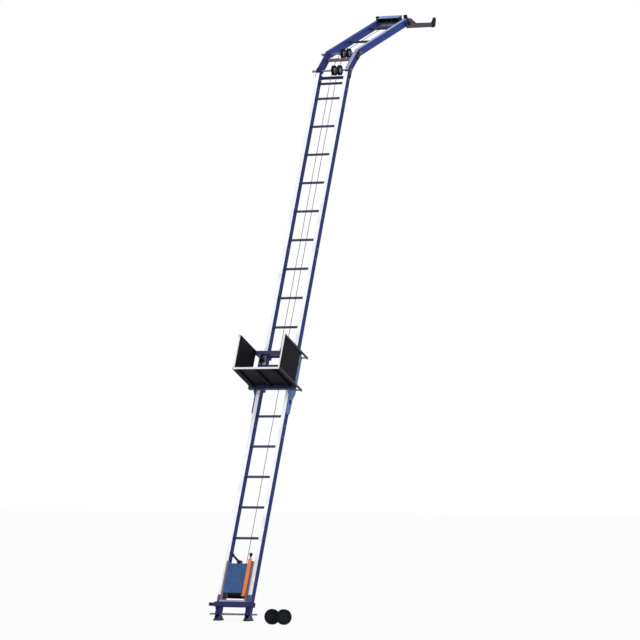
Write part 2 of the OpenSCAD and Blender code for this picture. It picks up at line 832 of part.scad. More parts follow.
module rollers_front_upper() {
    roller_pair(roller_front_n, front_high);
}
module rollers_front_lower() {
    roller_pair(roller_front_n, front_low);
}
module rollers_rear_upper() {
    roller_pair(roller_rear_n, rear_high);
}
module rollers_rear_lower() {
    roller_pair(roller_rear_n, rear_low);
}
module rope_socket() {
    lug = 12;
    color(steel) on_carriage() {
        block(haul_x - lug / 2, haul_x + lug / 2, cross_n1, rope_n + socket_d / 2, beam_high + 4, tray_h);
        rod_z(socket_d, tray_h, tray_h + socket_h, haul_x, rope_n);
    }
}

// Knee
// Rail with a solid rounded eye on the hinge at its foot
module eyed_rail(z1) {
    difference() {
        union() {
            rail(0, z1);
            rod_x(2 * eye_r, inner, outer - side_play, 0, 0);
        }
        rod_x(knee_axle_d + 2 * fit, inner - cut, outer + cut, 0, 0);
    }
}
// Plate on the outside of a rail, reaching up to the hinge above it
module hinge_plate(z) {
    plate_r = eye_r - 1;
    difference() {
        union() {
            rod_x(2 * plate_r, outer, outer + plate_t, 0, z);
            block(outer, outer + plate_t, -plate_r, plate_r, z - plate_tail, z);
        }
        rod_x(knee_axle_d + 2 * fit, outer - cut, outer + plate_t + cut, 0, z);
    }
}
// Axle through both rails, with nuts outside, a knob at its left and spacers that place the two pulleys
module knee_axle(z) {
    nut_h = 14;
    nut_x = outer + plate_t + side_play;
    end_x = nut_x + nut_h + 5;
    left_x = nut_x + nut_h + axle_reach;
    spacer_d = 1.5 * knee_axle_d;
    end_spacer = 8;
    half = pulley_w / 2 + side_play;
    rod_x(knee_axle_d, -left_x, end_x, 0, z);
    rod_x(1.4 * knee_axle_d, -left_x, axle_knob - left_x, 0, z);
    both_sides() translate([nut_x, 0, z]) rotate([0, 90, 0]) difference() {
        cylinder(d = 1.8 * knee_axle_d, h = nut_h, $fn = 6);
        translate([0, 0, -cut]) cylinder(d = knee_axle_d + 2 * fit, h = nut_h + 2 * cut);
    }
    ends = [haul_x - half - end_spacer, haul_x - half, haul_x + half, winch_x - half, winch_x + half,
        winch_x + half + end_spacer];
    for (i = [0, 2, 4]) difference() {
        rod_x(spacer_d, ends[i], ends[i + 1], 0, z);
        rod_x(knee_axle_d + 2 * fit, ends[i] - cut, ends[i + 1] + cut, 0, z);
    }
}
// Pulley turned about x, with a groove that clears the rope
module pulley(pitch_r, width, bore) {
    rim_r = pitch_r + pulley_rim;
    floor_r = pitch_r - rope_r - rope_seat;
    half = width / 2;
    lip = half - 4;
    web_r = floor_r - 6;
    floor_half = rope_r + 0.4;
    bore_r = bore / 2 + fit;
    rotate([0, 90, 0]) difference() {
        rotate_extrude() polygon([[bore_r, -half], [rim_r, -half], [rim_r, -lip], [floor_r, -floor_half],
            [floor_r, floor_half], [rim_r, lip], [rim_r, half], [bore_r, half]]);
        for (side = [0, 1]) mirror([0, 0, side]) translate([0, 0, half - 4]) difference() {
            cylinder(r = web_r, h = 4 + cut);
            cylinder(r = bore / 2 + 7, h = 4 + cut);
        }
    }
}
module knee_pulley(x) {
    color(black) translate([x, 0, 0]) pulley(pulley_pitch_r, pulley_w, knee_axle_d);
}
module knee_foot() {
    flat_t = 6;
    flat_h = 35;
    flat_s = knee_s - pulley_pitch_r - pulley_rim - flat_h + 4;
    color(navy) on_ladder() {
        both_sides() difference() {
            rail(joint_3, knee_s - hinge_gap);
            bolt_hole(joint_3 + bolt_from_joint);
        }
        rung(joint_3 + rung_d / 2);
        block(-bar_half, bar_half, back - flat_t, back, flat_s, flat_s + flat_h);
    }
}
module knee_axle_lower() {
    color(steel) on_ladder() knee_axle(knee_s);
}
module pulley_haul_lower() {
    on_ladder() translate([0, 0, knee_s]) knee_pulley(haul_x);
}
module pulley_winch_lower() {
    on_ladder() translate([0, 0, knee_s]) knee_pulley(winch_x);
}
module link_rails() {
    bar_d = 38;
    bar_l = link_len - pulley_pitch_r - pulley_rim - bar_d / 2 - 20;
    color(navy) on_link() {
        both_sides() eyed_rail(link_len - hinge_gap);
        rod_x(bar_d, -bar_half, bar_half, 14, bar_l);
    }
}
module knee_plates_upper() {
    color(black) on_link() both_sides() hinge_plate(link_len);
}
module knee_axle_upper() {
    color(steel) on_link() knee_axle(link_len);
}
module pulley_haul_upper() {
    on_link() translate([0, 0, link_len]) knee_pulley(haul_x);
}
module pulley_winch_upper() {
    on_link() translate([0, 0, link_len]) knee_pulley(winch_x);
}
module rope_link_runs() {
    color(steel) on_link() for (x = run_xs) rod_z(rope_d, 0, link_len, x, rope_n);
}
module rope_bend_lower() {
    color(steel) on_link() rope_bend(knee_lower_bend);
}

// Arm and head
module arm_rails() {
    color(navy) on_arm() {
        both_sides() difference() {
            eyed_rail(arm_len);
            rod_x(rest_pivot_d + 2 * fit, inner - cut, outer + cut, rest_n, rest_l);
        }
        for (z = [arm_rung_l, sheave_l - arm_rung_gap]) rung(z);
    }
}
module knee_plates_lower() {
    color(black) on_ladder() both_sides() hinge_plate(knee_s);
}
module rope_bend_upper() {
    color(steel) on_arm() rope_bend(knee_upper_bend);
}
// Two straight runs joined by a half turn round the head sheave
module rope_arm_runs() {
    color(steel) on_arm() {
        for (x = run_xs) rod_z(rope_d, 0, sheave_l, x, rope_n);
        translate([sheave_x, rope_n, sheave_l]) rotate([90, 0, 0])
            rotate_extrude(angle = 180) translate([sheave_r, 0]) circle(d = rope_d);
    }
}
module head_bracket() {
    bolt_head_h = 6;
    bolt_top = rope_n - sheave_w / 2 - 1;
    color(navy) on_arm() {
        block(-inner, inner, head_plate_n, head_plate_n + head_plate_t, head_plate_l0, head_plate_l1);
        rod_y(sheave_bolt_d, bolt_top, head_plate_n, sheave_x, sheave_l);
        rod_y(1.7 * sheave_bolt_d, bolt_top - bolt_head_h, bolt_top, sheave_x, sheave_l);
    }
}
module head_sheave() {
    color(black) on_arm() translate([sheave_x, rope_n, sheave_l]) rotate([0, 0, 90])
        pulley(sheave_r, sheave_w, sheave_bolt_d);
}
module head_cover() {
    half = inner - 20;
    color(pale_blue) on_arm() {
        block(-half, half, head_cover_n, head_cover_n + head_cover_t, head_plate_l0, head_plate_l1 + 15);
        both_sides() block(half - head_cover_t, half, head_cover_n + head_cover_t, head_plate_n,
            head_plate_l0 + 8, head_plate_l1);
        block(-half, half, head_cover_n + head_cover_t, head_plate_n, head_plate_l1 - head_cover_t,
            head_plate_l1);
    }
}
module end_stops() {
    plug_t = 10;
    color(rubber) on_arm() both_sides() {
        rod_y(stop_d, front - stop_h, front, mid, arm_len - stop_d / 2 - 8);
        block(inner, outer, front, back, arm_len, arm_len + plug_t);
    }
}

// Roof rests
module roof_rests() {
    tip_l = rest_len - rest_tip_len;
    color([0.36, 0.35, 0.42]) on_arm() both_sides() translate([0, rest_n, rest_l]) difference() {
        union() {
            side_plate(rest_x0, rest_x0 + rest_t) polygon([
                [-5, -rest_heel], [-rest_boss_r, 0], [-rest_hump, rest_from_end + 8],
                [-rest_hump, rest_from_end + 30], [shoulder_drop, rest_shoulder],
                [rest_drop - rest_bar, tip_l], [rest_drop, tip_l], [2 * rest_boss_r, -rest_heel]]);
            rod_x(2 * rest_boss_r, rest_x0, rest_x0 + rest_t, 0, 0);
        }
        rod_x(rest_pivot_d + 2 * fit, rest_x0 - cut, rest_x0 + rest_t + cut, 0, 0);
    }
}
module rest_tips() {
    tip_l = rest_len - rest_tip_len;
    x0 = rest_x0 + rest_t / 2 - rest_tip_w / 2;
    color(rubber) on_arm() both_sides() translate([0, rest_n, rest_l])
        side_plate(x0, x0 + rest_tip_w) polygon([
            [rest_drop - rest_bar - 4, tip_l], [rest_drop + 6, tip_l], [rest_drop + 2, tip_l + 40],
            [rest_drop - rest_bar - 8, rest_len], [rest_drop - rest_bar - 40, rest_len - 12],
            [rest_drop - rest_bar - 8, tip_l + 30]]);
}
module rest_pivot() {
    collar_d = rest_pivot_d + 16;
    collar_t = 10;
    color(steel) on_arm() translate([0, rest_n, rest_l]) {
        rod_x(rest_pivot_d, -rest_knob_x, rest_knob_x, 0, 0);
        both_sides() difference() {
            union() {
                rod_x(collar_d, inner - collar_t, inner, 0, 0);
                rod_x(collar_d, outer, rest_x0 - side_play, 0, 0);
            }
            rod_x(rest_pivot_d + 2 * fit, inner - collar_t - cut, rest_x0, 0, 0);
        }
    }
}
module rest_knobs() {
    lobes = 6;
    knob_t = 26;
    lobe_d = rest_knob_d / 4;
    color(black) on_arm() translate([0, rest_n, rest_l]) both_sides() difference() {
        rod_x(rest_knob_d, rest_knob_x, rest_knob_x + knob_t, 0, 0);
        for (i = [0 : lobes - 1]) rotate([i * 360 / lobes, 0, 0])
            rod_x(lobe_d, rest_knob_x - cut, rest_knob_x + knob_t + cut, rest_knob_d / 2 + 2, 0);
    }
}

// Loose wheels
module wheel() {
    rim_r = wheel_d / 2 - tyre_t;
    half = wheel_w / 2;
    round_r = 10;
    hub_r = 18;
    rotate([90, 0, 0]) {
        rotate_extrude() difference() {
            translate([rim_r, -half]) square([tyre_t, wheel_w]);
            for (side = [-1, 1]) translate([wheel_d / 2 - round_r, side * (half - round_r)]) difference() {
                translate([0, side > 0 ? 0 : -round_r]) square([round_r + cut, round_r]);
                circle(r = round_r);
            }
        }
        difference() {
            union() {
                rotate_extrude() translate([0, -7]) square([rim_r - 0.2, 14]);
                rotate_extrude() translate([rim_r - 8, -half + 4]) square([8 - 0.2, wheel_w - 8]);
                cylinder(r = hub_r, h = wheel_w + 8, center = true);
            }
            cylinder(d = spindle_d + 2 * hole_gap, h = wheel_w + 20, center = true);
        }
    }
}
module place_wheel(step, nearer) {
    translate([wheel_x, wheel_y, wheel_d / 2]) rotate([0, 0, wheel_yaw]) translate([step, -nearer, 0])
        children();
}
module wheel_left() {
    color(rubber) place_wheel(0, 0) wheel();
}
module wheel_right() {
    color(rubber) place_wheel(wheel_step, wheel_w + wheel_gap) wheel();
}

rails_lower();
rails_middle();
rails_upper();
rungs();
splice_spigots();
splice_bolts();
knee_foot();
knee_axle_lower();
base_beam();
beam_end_caps();
wheel_axle();
winch_frame();
winch_pan();
winch_motor();
winch_gearbox();
winch_cover();
rope_winch_run();
rope_moving_runs();
winch_drum();
drum_winding();
control_lever();
lever_knob();
limit_lever();
foot_left();
foot_right();
carriage_cheeks();
carriage_beams();
platform_floor();
platform_walls();
floor_bearers();
carriage_arms();
roller_axles();
rope_socket();
rollers_front_upper();
rollers_front_lower();
rollers_rear_upper();
rollers_rear_lower();
pulley_haul_lower();
pulley_winch_lower();
pulley_haul_upper();
pulley_winch_upper();
link_rails();
knee_plates_upper();
knee_axle_upper();
rope_link_runs();
rope_bend_lower();
arm_rails();
knee_plates_lower();
head_bracket();
head_cover();
end_stops();
rope_arm_runs();
rope_bend_upper();
head_sheave();
roof_rests();
rest_tips();
rest_pivot();
rest_knobs();
wheel_left();
wheel_right();
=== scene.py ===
"""Looks of the ladder hoist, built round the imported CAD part."""

import math

import bmesh
import bpy
from mathutils import Matrix, Vector


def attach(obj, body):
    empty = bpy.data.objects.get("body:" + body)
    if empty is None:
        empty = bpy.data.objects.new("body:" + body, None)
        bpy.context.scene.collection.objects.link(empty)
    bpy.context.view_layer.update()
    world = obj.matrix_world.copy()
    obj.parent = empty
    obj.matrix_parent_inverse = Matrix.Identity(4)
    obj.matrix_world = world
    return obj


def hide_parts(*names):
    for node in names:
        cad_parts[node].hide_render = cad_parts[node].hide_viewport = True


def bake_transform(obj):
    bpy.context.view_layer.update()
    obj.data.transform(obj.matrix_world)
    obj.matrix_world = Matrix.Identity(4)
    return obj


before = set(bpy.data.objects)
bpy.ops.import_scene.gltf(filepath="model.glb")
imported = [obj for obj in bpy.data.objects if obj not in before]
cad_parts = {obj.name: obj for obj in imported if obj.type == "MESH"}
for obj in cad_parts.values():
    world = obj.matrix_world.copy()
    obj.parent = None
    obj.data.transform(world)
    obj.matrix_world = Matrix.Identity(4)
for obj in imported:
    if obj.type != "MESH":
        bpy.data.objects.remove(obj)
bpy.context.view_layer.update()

# Sizes shared with the solids, in metres
LEAN = math.radians(66.9)
AXLE_Z = 0.065
KNEE_S = 6.150
LINK_LEN = 0.310
LOWER_BEND = math.radians(26)
UPPER_BEND = math.radians(21)
RAIL_INNER = 0.145
RAIL_MARGIN = 0.0005
RUNG_R = 0.013
RUNG_PITCH = 2.0 / 6
RUNG_START = RUNG_PITCH / 2 - 0.020
RUNG_RANGE = range(2, 18)
ROPE_R = 0.003
ROPE_N = -0.045
HAUL_X = 0.0
WINCH_X = 0.066
PULLEY_R = 0.045
DRUM_N = 0.0135
DRUM_S = 0.400
WINDING_R = 0.0585
WINDING_TURNS = 14
WINDING_PITCH = 0.0066
LEAD_LEN = 0.032
CARRIAGE_S = 2.454
SOCKET_TOP = 0.430
SHEAVE_L = 1.330
SHEAVE_R = 0.033
WHEEL_YAW = math.radians(45)
WHEEL_STEP = 0.087
WHEEL_NEARER = 0.095
WHEEL_Z = 0.076
RIM_R = 0.052
WHEEL_LEFT = Vector((0.690, -0.550, WHEEL_Z))
WHEEL_RIGHT = WHEEL_LEFT + Matrix.Rotation(WHEEL_YAW, 3, "Z") @ Vector((WHEEL_STEP, -WHEEL_NEARER, 0))

# Frames of the moving groups
LADDER = Matrix.Translation((0, 0, AXLE_Z)) @ Matrix.Rotation(LEAN - math.pi / 2, 4, "X")
LINK = LADDER @ Matrix.Translation((0, 0, KNEE_S)) @ Matrix.Rotation(-LOWER_BEND, 4, "X")
ARM = LINK @ Matrix.Translation((0, 0, LINK_LEN)) @ Matrix.Rotation(-UPPER_BEND, 4, "X")
LADDER_FRONT = LADDER.to_3x3() @ Vector((0, -1, 0))
LADDER_UP = LADDER.to_3x3() @ Vector((0, 0, 1))
LINK_FRONT = LINK.to_3x3() @ Vector((0, -1, 0))
ARM_FRONT = ARM.to_3x3() @ Vector((0, -1, 0))


def srgb(red, green, blue):
    """Colour as read off a screen, 0 to 255, turned into the values a shader takes."""
    def straighten(value):
        value /= 255
        return value / 12.92 if value <= 0.04045 else ((value + 0.055) / 1.055) ** 2.4
    return (straighten(red), straighten(green), straighten(blue), 1)


def shade(colour, amount):
    """The colour made darker or lighter."""
    return tuple(channel * amount for channel in colour[:3]) + (1,)


# Materials
class Shader:
    """One node material with short ways to add nodes."""

    def __init__(self, name, roughness, metallic=0.0, specular=0.3):
        self.material = bpy.data.materials.new(name)
        self.material.use_nodes = True
        self.nodes = self.material.node_tree.nodes
        self.links = self.material.node_tree.links
        self.surface = self.nodes["Principled BSDF"]
        self.surface.inputs["Roughness"].default_value = roughness
        self.surface.inputs["Metallic"].default_value = metallic
        self.surface.inputs["Specular IOR Level"].default_value = specular
        self.coords = self.nodes.new("ShaderNodeTexCoord")

    def noise(self, scale, detail=4):
        node = self.nodes.new("ShaderNodeTexNoise")
        node.inputs["Scale"].default_value = scale
        node.inputs["Detail"].default_value = detail
        self.links.new(self.coords.outputs["Object"], node.inputs["Vector"])
        return node.outputs["Fac"]

    def ramp(self, factor, low, high, low_at=0.3, high_at=0.7):
        node = self.nodes.new("ShaderNodeValToRGB")
        node.color_ramp.elements[0].position = low_at
        node.color_ramp.elements[0].color = low
        node.color_ramp.elements[1].position = high_at
        node.color_ramp.elements[1].color = high
        self.links.new(factor, node.inputs["Fac"])
        return node.outputs["Color"]

    def mottle(self, colour, scale, darkest, lightest):
        """Soft patches of one colour in darker and lighter tones."""
        return self.ramp(self.noise(scale), shade(colour, darkest), shade(colour, lightest))

    def mix(self, factor, first, second):
        node = self.nodes.new("ShaderNodeMix")
        node.data_type = "RGBA"
        self.links.new(factor, node.inputs["Factor"])
        self.links.new(first, node.inputs["A"])
        self.links.new(second, node.inputs["B"])
        return node.outputs["Result"]

    def vector(self, operation, first, second=None):
        node = self.nodes.new("ShaderNodeVectorMath")
        node.operation = operation
        self.links.new(first, node.inputs[0])
        if isinstance(second, bpy.types.NodeSocket):
            self.links.new(second, node.inputs[1])
        elif second is not None:
            node.inputs[1].default_value = second
        return node.outputs["Value" if operation in ("DOT_PRODUCT", "LENGTH") else "Vector"]

    def number(self, operation, first, second=0.0):
        node = self.nodes.new("ShaderNodeMath")
        node.operation = operation
        self.links.new(first, node.inputs[0])
        if isinstance(second, bpy.types.NodeSocket):
            self.links.new(second, node.inputs[1])
        else:
            node.inputs[1].default_value = second
        return node.outputs["Value"]

    def place(self, axis):
        """Position along one axis, in metres."""
        node = self.nodes.new("ShaderNodeSeparateXYZ")
        self.links.new(self.coords.outputs["Object"], node.inputs["Vector"])
        return node.outputs[axis]

    def facing(self, direction, limit=0.6):
        """1 on faces that look along the direction, in the piece's own axes."""
        towards = self.vector("DOT_PRODUCT", self.coords.outputs["Normal"], direction)
        return self.number("GREATER_THAN", towards, limit)

    def bump(self, height, strength, distance=0.001):
        node = self.nodes.new("ShaderNodeBump")
        node.inputs["Strength"].default_value = strength
        node.inputs["Distance"].default_value = distance
        self.links.new(height, node.inputs["Height"])
        self.links.new(node.outputs["Normal"], self.surface.inputs["Normal"])

    def colour(self, socket):
        self.links.new(socket, self.surface.inputs["Base Color"])


def finish(name, colour, roughness, metallic=0.0, patch=6.0, spread=0.14, grain=0.1, specular=0.3):
    """Plain finish with soft patches of lighter and darker tone and a fine grain."""
    shader = Shader(name, roughness, metallic, specular)
    shader.colour(shader.mottle(colour, patch, 1 - spread, 1 + spread))
    shader.bump(shader.noise(400), grain)
    return shader.material


def rail_with_painted_glare(name, colour, glare_colour, front, zone, bars):
    """Enamelled rails with a painted highlight, near white, on the front faces in a zone, with cross bars
    in a paint of their own.

    The zone is a direction and the least distance along it at which the painted highlight shows."""
    shader = Shader(name, 0.42, specular=0.1)
    enamel = shader.mottle(colour, 3, 0.85, 1.15)
    # Painted highlight: front faces in the zone take a near-white colour that stands in for glare
    glare = shader.ramp(shader.noise(9, 6), shade(glare_colour, 0.85), glare_colour, 0.32, 0.55)
    paint = shader.mottle(bars, 14, 0.75, 1.25)
    along = shader.vector("DOT_PRODUCT", shader.coords.outputs["Object"], zone[0])
    glare_mask = shader.number("MULTIPLY", shader.facing(front), shader.number("GREATER_THAN", along, zone[1]))
    rails = shader.mix(glare_mask, enamel, glare)
    off_middle = shader.number("ABSOLUTE", shader.place("X"))
    on_rail = shader.number("GREATER_THAN", off_middle, RAIL_INNER - RAIL_MARGIN)
    shader.colour(shader.mix(on_rail, paint, rails))
    shader.bump(shader.noise(250), 0.08)
    return shader.material


def faced_board(name, film, edge, across):
    """Board with a dark film on its two broad faces and pale cut edges."""
    shader = Shader(name, 0.6, specular=0.08)
    dark = shader.mottle(film, 5, 0.7, 1.4)
    pale = shader.ramp(shader.noise(60), shade(edge, 0.85), edge, 0.35, 0.6)
    towards = shader.vector("DOT_PRODUCT", shader.coords.outputs["Normal"], across)
    broad = shader.number("GREATER_THAN", shader.number("ABSOLUTE", towards), 0.7)
    shader.colour(shader.mix(broad, pale, dark))
    shader.bump(shader.noise(300), 0.15)
    return shader.material


def two_tone(name, near, far, direction, limit):
    """One colour up to a distance along a direction, another beyond it."""
    shader = Shader(name, 0.55)
    first = shader.mottle(near, 40, 0.85, 1.2)
    second = shader.mottle(far, 12, 0.85, 1.15)
    along = shader.vector("DOT_PRODUCT", shader.coords.outputs["Object"], direction)
    shader.colour(shader.mix(shader.number("GREATER_THAN", along, limit), first, second))
    shader.bump(shader.noise(300), 0.2)
    return shader.material


def turned(name, middle, axis, rim, hub_highlight, tyre):
    """One colour inside a radius about an axle, another outside it."""
    shader = Shader(name, 0.6, specular=0.1)
    from_middle = shader.vector("SUBTRACT", shader.coords.outputs["Object"], middle)
    across = shader.vector("CROSS_PRODUCT", from_middle, axis)
    outside = shader.number("GREATER_THAN", shader.vector("LENGTH", across), rim)
    inner = shader.mottle(hub_highlight, 30, 0.75, 1.3)
    outer = shader.mottle(tyre, 50, 0.75, 1.3)
    shader.colour(shader.mix(outside, inner, outer))
    shader.bump(shader.noise(300), 0.2)
    return shader.material


def lid_with_shaded_walls(name, lid, wall_shade, front):
    """Sheet cover with a light lid towards the front and walls in painted shade, near black."""
    shader = Shader(name, 0.45)
    light = shader.mottle(lid, 12, 0.8, 1.15)
    # Painted shade: every face that does not look to the front is near black
    dark = shader.mottle(wall_shade, 20, 0.8, 1.2)
    shader.colour(shader.mix(shader.facing(front), dark, light))
    shader.bump(shader.noise(300), 0.1)
    return shader.material


def wire_rope(name):
    """Steel wire rope with slanting strands."""
    shader = Shader(name, 0.35, 0.6)
    wave = shader.nodes.new("ShaderNodeTexWave")
    wave.bands_direction = "DIAGONAL"
    wave.inputs["Scale"].default_value = 40
    shader.links.new(shader.coords.outputs["UV"], wave.inputs["Vector"])
    shader.colour(shader.ramp(wave.outputs["Fac"], srgb(34, 33, 44), srgb(70, 68, 84), 0.2, 0.8))
    shader.bump(wave.outputs["Fac"], 0.4, 0.0005)
    return shader.material


# Colours and where they change, in metres
NAVY = srgb(28, 38, 102)
# Near white of the painted highlight on the ladder rails' front faces
LIGHT_NAVY = srgb(36, 56, 130)
GLARE_WHITE = srgb(250, 251, 255)
FILM = srgb(17, 16, 23)
RIGHT = Vector((1, 0, 0))
RIGHT_SIDE = (RIGHT, 0.0)
BEAM_TOP = 0.160
# The painted highlight on the ladder rails starts this far up, above the beam
GLARE_FROM = 0.21
ABOVE_BEAM = (LADDER_UP, GLARE_FROM)
SOLE_TOP = 0.010
TYRE = srgb(15, 16, 22)
# Wheel hubs a lighter grey than the tyres: the rims' dark grey lightened as a painted highlight
HUB_HIGHLIGHT = srgb(36, 38, 48)
WHEEL_AXIS = (math.sin(WHEEL_YAW), -math.cos(WHEEL_YAW), 0)
PULLEY_HUB_R = 0.026
# Pale grey at the black pulleys' hubs is a painted highlight
PULLEY_HUB_HIGHLIGHT = srgb(180, 180, 184)
EDGE = srgb(236, 234, 230)
looks = {
    "rails": rail_with_painted_glare("navy_rails", NAVY, GLARE_WHITE, LADDER_FRONT, ABOVE_BEAM, srgb(40, 46, 84)),
    # Link and arm: lighter front faces on the right-hand rail are a painted highlight
    "link": rail_with_painted_glare("navy_link", NAVY, srgb(150, 158, 190), LINK_FRONT, RIGHT_SIDE, srgb(132, 104, 120)),
    "arm": rail_with_painted_glare("navy_arm", LIGHT_NAVY, srgb(164, 172, 210), ARM_FRONT, RIGHT_SIDE, srgb(44, 46, 70)),
    "navy": finish("navy_enamel", srgb(44, 50, 84), 0.45),
    "rung": finish("rung_enamel", srgb(58, 66, 96), 0.45),
    "beam": two_tone("beam_enamel", srgb(26, 32, 84), srgb(92, 94, 128), LADDER_UP, BEAM_TOP),
    "beam_ends": two_tone("beam_end_finish", srgb(15, 16, 21), srgb(26, 32, 72), RIGHT, 0),
    "pale": finish("pale_blue_enamel", srgb(84, 110, 158), 0.45),
    # Head cover: light lid, with its walls and end wall in painted shade
    "head_cover": lid_with_shaded_walls("head_cover_enamel_and_painted_shade", srgb(104, 140, 186), srgb(26, 28, 40), ARM_FRONT),
    "pan": finish("pan_enamel", srgb(150, 152, 180), 0.45),
    "cover": finish("cover_enamel", srgb(44, 78, 128), 0.5, patch=14),
    "orange": finish("orange_enamel", srgb(218, 118, 62), 0.45),
    # Winch frame: its orange-brown paint darkened to mauve brown as painted shade
    "winch_frame": finish("frame_enamel_in_painted_shade", srgb(122, 100, 112), 0.5),
    "black": finish("black_enamel", srgb(20, 21, 28), 0.45, patch=10),
    # Floor bearers under the tray: black paint made darker still as painted shade
    "shaded_bearer": finish("bearer_enamel_with_painted_shade", srgb(11, 12, 16), 0.6, patch=10, specular=0.08),
    "rest": finish("rest_enamel", srgb(56, 48, 62), 0.45, patch=10),
    "plastic": finish("black_plastic", srgb(18, 19, 25), 0.5, patch=30),
    "rubber": finish("black_rubber", srgb(15, 16, 21), 0.75, patch=30, grain=0.3),
    "steel": finish("bright_steel", srgb(132, 132, 146), 0.4, 0.5, patch=20),
    "cast": finish("cast_grey", srgb(98, 102, 112), 0.55, patch=20, grain=0.4),
    "floor_board": faced_board("faced_floor", FILM, EDGE, LADDER_UP),
    "wall_board": faced_board("faced_walls", FILM, EDGE, RIGHT),
    "foot": two_tone("foot_finish", srgb(20, 20, 24), srgb(70, 70, 90), (0, 0, 1), SOLE_TOP),
    "wheel_left": turned("left_wheel_finish", WHEEL_LEFT, WHEEL_AXIS, RIM_R, HUB_HIGHLIGHT, TYRE),
    "wheel_right": turned("right_wheel_finish", WHEEL_RIGHT, WHEEL_AXIS, RIM_R, HUB_HIGHLIGHT, TYRE),
    "pulley_low": turned("low_pulley_finish", LINK.translation, RIGHT, PULLEY_HUB_R, PULLEY_HUB_HIGHLIGHT, TYRE),
    "pulley_high": turned("high_pulley_finish", ARM.translation, RIGHT, PULLEY_HUB_R, PULLEY_HUB_HIGHLIGHT, TYRE),
    "rope": wire_rope("wire_rope"),
}
node_looks = {
    "rails": ["rails_lower", "rails_middle", "rails_upper", "knee_foot"],
    "link": ["link_rails"],
    "arm": ["arm_rails"],
    "navy": ["carriage_beams", "head_bracket"],
    "rung": ["rungs"],
    "beam": ["base_beam"],
    "beam_ends": ["beam_end_caps"],
    "pale": ["carriage_cheeks"],
    "head_cover": ["head_cover"],
    "pan": ["winch_pan"],
    "cover": ["winch_cover"],
    "orange": ["control_lever"],
    "winch_frame": ["winch_frame"],
    "black": ["knee_plates_lower", "knee_plates_upper", "carriage_arms", "limit_lever", "winch_motor"],
    "shaded_bearer": ["floor_bearers"],
    "rest": ["roof_rests"],
    "plastic": ["lever_knob", "rest_knobs", "head_sheave", "rollers_front_upper", "rollers_front_lower",
                "rollers_rear_upper", "rollers_rear_lower"],
    "pulley_low": ["pulley_haul_lower", "pulley_winch_lower"],
    "pulley_high": ["pulley_haul_upper", "pulley_winch_upper"],
    "rubber": ["end_stops", "rest_tips"],
    "steel": ["splice_spigots", "splice_bolts", "knee_axle_lower", "knee_axle_upper", "wheel_axle",
              "roller_axles", "rope_socket", "rest_pivot", "winch_drum"],
    "cast": ["winch_gearbox"],
    "floor_board": ["platform_floor"],
    "wall_board": ["platform_walls"],
    "foot": ["foot_left", "foot_right"],
    "wheel_left": ["wheel_left"],
    "wheel_right": ["wheel_right"],
}
for look, names in node_looks.items():
    for name in names:
        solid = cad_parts[name]
        solid.data.materials.clear()
        solid.data.materials.append(looks[look])


# Pieces made here
def add_piece(name, mesh, look):
    mesh.materials.append(looks[look])
    piece = bpy.data.objects.new(name, mesh)
    bpy.context.scene.collection.objects.link(piece)
    return piece


def tube(name, points, radius=ROPE_R, sides=12):
    """Round tube along a line of points, with lengthwise strands for the rope's finish."""
    count = len(points)
    tangents = [(points[min(i + 1, count - 1)] - points[max(i - 1, 0)]).normalized() for i in range(count)]
    across = tangents[0].orthogonal().normalized()
    verts, lengths, travelled = [], [], 0.0
    for i, point in enumerate(points):
        if i:
            travelled += (point - points[i - 1]).length
        across = (across - tangents[i] * across.dot(tangents[i])).normalized()
        beside = tangents[i].cross(across)
        for j in range(sides):
            turn = 2 * math.pi * j / sides
            verts.append(point + radius * (math.cos(turn) * across + math.sin(turn) * beside))
        lengths.append(travelled)
    faces, uvs = [], []
    for i in range(count - 1):
        for j in range(sides):
            k = (j + 1) % sides
            faces.append((i * sides + j, i * sides + k, (i + 1) * sides + k, (i + 1) * sides + j))
            low, high = lengths[i] / (4 * radius), lengths[i + 1] / (4 * radius)
            uvs += [(low, j / sides), (low, (j + 1) / sides), (high, (j + 1) / sides), (high, j / sides)]
    ends = [tuple(reversed(range(sides))), tuple((count - 1) * sides + j for j in range(sides))]
    mesh = bpy.data.meshes.new(name)
    mesh.from_pydata(verts, [], faces + ends)
    layer = mesh.uv_layers.new(name="along")
    for loop, uv in zip(layer.data, uvs + [(0, 0)] * (2 * sides)):
        loop.uv = uv
    for polygon in mesh.polygons:
        polygon.use_smooth = len(polygon.vertices) == 4
    return add_piece(name, mesh, "rope")


def straight(place, x, start, end, steps=40):
    return [place @ Vector((x, ROPE_N, start + (end - start) * i / steps)) for i in range(steps + 1)]


def round_hinge(place, x, bend, steps=16):
    """Rope line round a hinge pulley, from the lower run to the upper one."""
    turns = [bend * (1 - i / steps) for i in range(steps + 1)]
    return [place @ Vector((x, -PULLEY_R * math.cos(t), -PULLEY_R * math.sin(t))) for t in turns]


def joined(name, meshes, look):
    """One piece from several small bmeshes."""
    mesh = bpy.data.meshes.new(name)
    whole = bmesh.new()
    for part in meshes:
        part.to_mesh(mesh)
        part.free()
        whole.from_mesh(mesh)
    whole.to_mesh(mesh)
    whole.free()
    for polygon in mesh.polygons:
        polygon.use_smooth = True
    return add_piece(name, mesh, look)


def bead(place, x, n, s, radius, thick):
    """Weld bead round a bar that runs along x."""
    ring = bmesh.new()
    around, sides = 24, 8
    verts = []
    for i in range(around):
        turn = 2 * math.pi * i / around
        for j in range(sides):
            tilt = 2 * math.pi * j / sides
            out = radius + thick * math.cos(tilt)
            verts.append(ring.verts.new(place @ Vector((
                x + thick * math.sin(tilt), n + out * math.cos(turn), s + out * math.sin(turn)))))
    for i in range(around):
        here, ahead = i * sides, (i + 1) % around * sides
        for j in range(sides):
            k = (j + 1) % sides
            ring.faces.new([verts[here + j], verts[here + k], verts[ahead + k], verts[ahead + j]])
    bmesh.ops.recalc_face_normals(ring, faces=ring.faces)
    return ring


